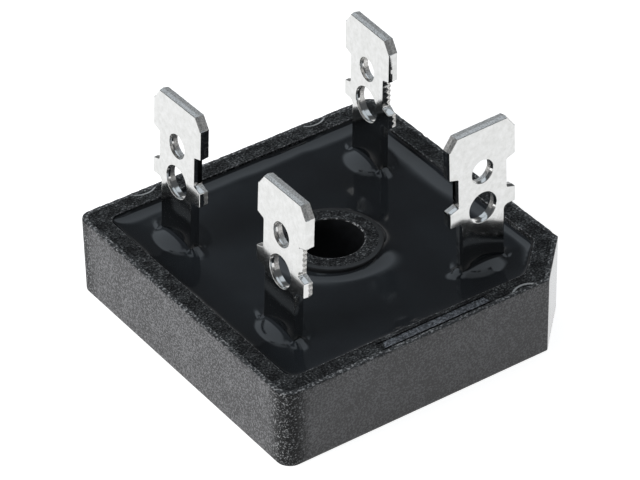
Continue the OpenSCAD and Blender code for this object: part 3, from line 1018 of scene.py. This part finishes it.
def add_floor():
    """A pale sweep. Seen directly or in a mirror it is nearly white, and it keeps the shadow; under
    the part its glow fades out as a painted contact shadow.
    """
    material = bpy.data.materials.new("white_paper_sweep")
    material.use_nodes = True
    tree = material.node_tree
    tree.nodes.clear()
    path = add(tree, "ShaderNodeLightPath").outputs
    seen = path["Is Camera Ray"]
    for ray in ("Is Glossy Ray", "Is Transmission Ray"):
        seen = add(tree, "ShaderNodeMath", {0: seen, 1: path[ray]}, operation="MAXIMUM").outputs[0]
    where = add(tree, "ShaderNodeTexCoord").outputs["Object"]
    away = add(tree, "ShaderNodeVectorMath", {0: where}, operation="LENGTH")
    # No glow under the part: a painted contact shadow
    glow = add(tree, "ShaderNodeMapRange", {
        "Value": away.outputs["Value"], "From Min": GLOW_FROM * MM, "From Max": GLOW_TO * MM,
        "To Max": 0.9,
    })
    # From below it is plain white
    below = add(tree, "ShaderNodeNewGeometry").outputs["Backfacing"]
    glow = add(tree, "ShaderNodeMath", {0: glow.outputs["Result"], 1: below}, operation="MAXIMUM")
    glow = add(tree, "ShaderNodeEmission", {"Color": WHITE, "Strength": glow.outputs[0]})
    paper = add(tree, "ShaderNodeBsdfDiffuse", {"Color": (0.45, 0.45, 0.45, 1)})
    lit = add(tree, "ShaderNodeAddShader", {0: paper.outputs[0], 1: glow.outputs[0]})
    plain = add(tree, "ShaderNodeBsdfDiffuse", {"Color": (0.8, 0.8, 0.8, 1)})
    mixed = add(tree, "ShaderNodeMixShader", {0: seen, 1: plain.outputs[0], 2: lit.outputs[0]})
    add(tree, "ShaderNodeOutputMaterial", {"Surface": mixed.outputs[0]})
    reach = FLOOR_REACH
    corners = [(-reach, -reach, 0), (reach, -reach, 0), (reach, reach, 0), (-reach, reach, 0)]
    mesh = bpy.data.meshes.new("floor")
    mesh.from_pydata(corners, [], [(0, 1, 2, 3)])
    mesh.materials.append(material)
    floor = bpy.data.objects.new("floor", mesh)
    floor.location.z = -0.02 * MM
    bpy.context.scene.collection.objects.link(floor)


def add_world():
    """A dim room with two soft round lights overhead. The camera sees it white."""
    world = bpy.data.worlds.new("studio")
    bpy.context.scene.world = world
    world.use_nodes = True
    tree = world.node_tree
    tree.nodes.clear()
    direction = add(tree, "ShaderNodeTexCoord").outputs["Generated"]
    height = add(tree, "ShaderNodeSeparateXYZ", {"Vector": direction}).outputs["Z"]
    room = add(tree, "ShaderNodeValToRGB", {"Fac": height}, [
        (0.0, "#c8c8c8"), (0.08, "#9a9a9a"), (0.3, "#5c5e60"), (1.0, "#5a5c5e"),
    ]).outputs["Color"]
    lights = []
    for middle, edge in SOFT_LIGHTS:
        near = add(tree, "ShaderNodeVectorMath", {0: direction, 1: middle}, operation="DOT_PRODUCT")
        light = add(tree, "ShaderNodeValToRGB", {"Fac": near.outputs["Value"]}, edge)
        lights.append(light.outputs["Color"])
    light = add(tree, "ShaderNodeVectorMath", {0: lights[0], 1: lights[1]}, operation="MAXIMUM")
    both = add(tree, "ShaderNodeVectorMath", {0: room, 1: light.outputs["Vector"]}, operation="ADD")
    dim = add(tree, "ShaderNodeBackground", {"Color": both.outputs["Vector"], "Strength": 1.0})
    white = add(tree, "ShaderNodeBackground", {"Color": WHITE, "Strength": 1.0})
    seen = add(tree, "ShaderNodeLightPath").outputs["Is Camera Ray"]
    mixed = add(tree, "ShaderNodeMixShader", {0: seen, 1: dim.outputs[0], 2: white.outputs[0]})
    add(tree, "ShaderNodeOutputWorld", {"Surface": mixed.outputs[0]})


def add_camera():
    """The scene's camera, from its angles and its place."""
    azimuth, elevation, roll = (math.radians(angle) for angle in CAMERA_ANGLES)
    back = Vector((
        math.sin(azimuth) * math.cos(elevation),
        -math.cos(azimuth) * math.cos(elevation),
        math.sin(elevation),
    ))
    right = (-back).cross(Vector((0, 0, 1))).normalized()
    up = right.cross(-back)
    right, up = (
        right * math.cos(roll) + up * math.sin(roll),
        up * math.cos(roll) - right * math.sin(roll),
    )
    data = bpy.data.cameras.new("camera")
    data.sensor_width = 36
    data.lens = CAMERA_LENS
    data.clip_start, data.clip_end = 0.01, 20
    camera = bpy.data.objects.new("camera", data)
    turn = Matrix((right, up, back)).transposed().to_4x4()
    camera.matrix_world = Matrix.Translation(Vector(CAMERA_AT) * MM) @ turn
    bpy.context.scene.collection.objects.link(camera)
    bpy.context.scene.camera = camera


# ---- Assembly ----

add_camera()
add_world()
add_floor()
# It lights the faces, but the tin and the liquid don't mirror it
left_softbox = add_lamp("left_softbox", (-0.42, 0.12, 0.2), 0.3, 9.5)
left_softbox.visible_glossy = False

build_case([
    moulded_epoxy(), broken_epoxy(), smooth_epoxy(), pin_epoxy(), gate_epoxy(), worn_and_highlit_epoxy(),
])
build_filling(cast_epoxy())
tin, edge_tin = bright_tin(), torn_tin()
for terminal_name in TERMINALS:
    build_terminal(terminal_name, tin, edge_tin)

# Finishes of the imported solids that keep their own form, by a word in their names, where the first
# that fits counts: dull aluminium and copper with faint rolling lines, smooth solder, dark silicon
along_rolling = (0.06, 1.0, 1.0)
inner_finishes = {
    "base_plate": inner_metal("rolled_aluminium", "#c9cacc", "#dfe0e1", 0.35, 0.25, along_rolling),
    "conductor": inner_metal("rolled_copper", "#b8694a", "#d58c68", 0.38, 0.2, along_rolling),
    "solder": inner_metal("reflowed_solder", "#a9abad", "#c4c6c8", 0.32, 0.5),
    "chip": inner_metal("lapped_silicon", "#4d5158", "#5c6068", 0.25, 0.3),
}
for name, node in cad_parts.items():
    finish = next((inner_finishes[word] for word in inner_finishes if word in name), None)
    if finish:
        node.data.materials.clear()
        node.data.materials.append(finish)

bpy.context.scene.view_settings.view_transform = "Standard"
bpy.context.view_layer.update()
